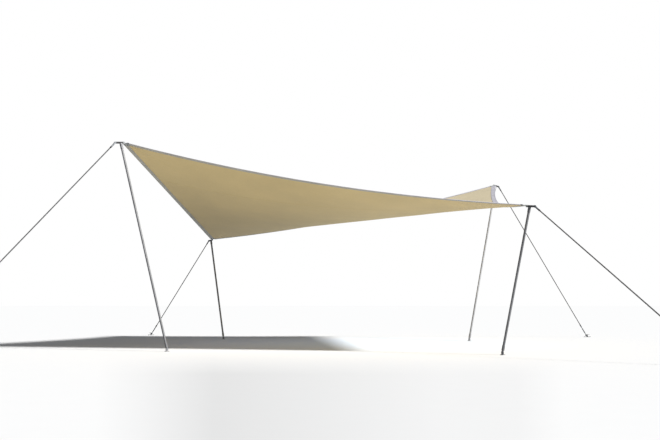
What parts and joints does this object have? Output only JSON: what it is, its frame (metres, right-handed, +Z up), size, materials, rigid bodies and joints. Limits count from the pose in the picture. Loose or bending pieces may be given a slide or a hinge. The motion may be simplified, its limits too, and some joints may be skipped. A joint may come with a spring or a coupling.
{
  "type": "stretch tent",
  "caption": "Saddle-shaped stretch tent: a fabric sail between high and low leaning masts, held by corner plates, guy ropes, tensioners and ground anchors.",
  "frame": {"origin": "on the ground under the middle of the sail", "axes": "+Z up; the high corners lie toward -X -Y and +X +Y, the low corners toward +X -Y and -X +Y"},
  "size_m": [14.0926, 14.0926, 4.3974],
  "materials": {
    "canopy_fabric": "matt khaki shade fabric, paler on its upper side",
    "hem_webbing": "matt grey webbing hem, sewn over an edge rope",
    "plate_steel": "grey coated steel plate",
    "black_steel": "satin black coated steel",
    "galvanised_tube": "galvanised steel tube",
    "guy_rope": "dark grey braided rope",
    "dull_zinc": "dull zinc-plated steel"
  },
  "bodies": {
    "root": {"canopy": "canopy_fabric", "front_hem": "hem_webbing", "right_hem": "hem_webbing", "back_hem": "hem_webbing", "left_hem": "hem_webbing", "front_left_corner_plate": "plate_steel", "front_left_mast_head": "black_steel", "front_left_mast": "galvanised_tube", "front_left_mast_foot": "galvanised_tube", "front_left_base_plate": "galvanised_tube", "front_left_guy_terminal": "dull_zinc", "front_left_guy_rope": "guy_rope", "front_left_guy_tensioner": "dull_zinc", "front_left_ground_anchor": "black_steel", "front_right_corner_plate": "plate_steel", "front_right_mast_head": "black_steel", "front_right_mast": "galvanised_tube", "front_right_mast_foot": "galvanised_tube", "front_right_base_plate": "galvanised_tube", "front_right_guy_terminal": "dull_zinc", "front_right_guy_rope": "guy_rope", "front_right_guy_tensioner": "dull_zinc", "front_right_ground_anchor": "black_steel", "back_right_corner_plate": "plate_steel", "back_right_mast_head": "black_steel", "back_right_mast": "galvanised_tube", "back_right_mast_foot": "galvanised_tube", "back_right_base_plate": "galvanised_tube", "back_right_guy_terminal": "dull_zinc", "back_right_guy_rope": "guy_rope", "back_right_guy_tensioner": "dull_zinc", "back_right_ground_anchor": "black_steel", "back_left_corner_plate": "plate_steel", "back_left_mast_head": "black_steel", "back_left_mast": "galvanised_tube", "back_left_mast_foot": "galvanised_tube", "back_left_base_plate": "galvanised_tube", "back_left_guy_terminal": "dull_zinc", "back_left_guy_rope": "guy_rope", "back_left_guy_tensioner": "dull_zinc", "back_left_ground_anchor": "black_steel"}
  },
  "joints": []
}
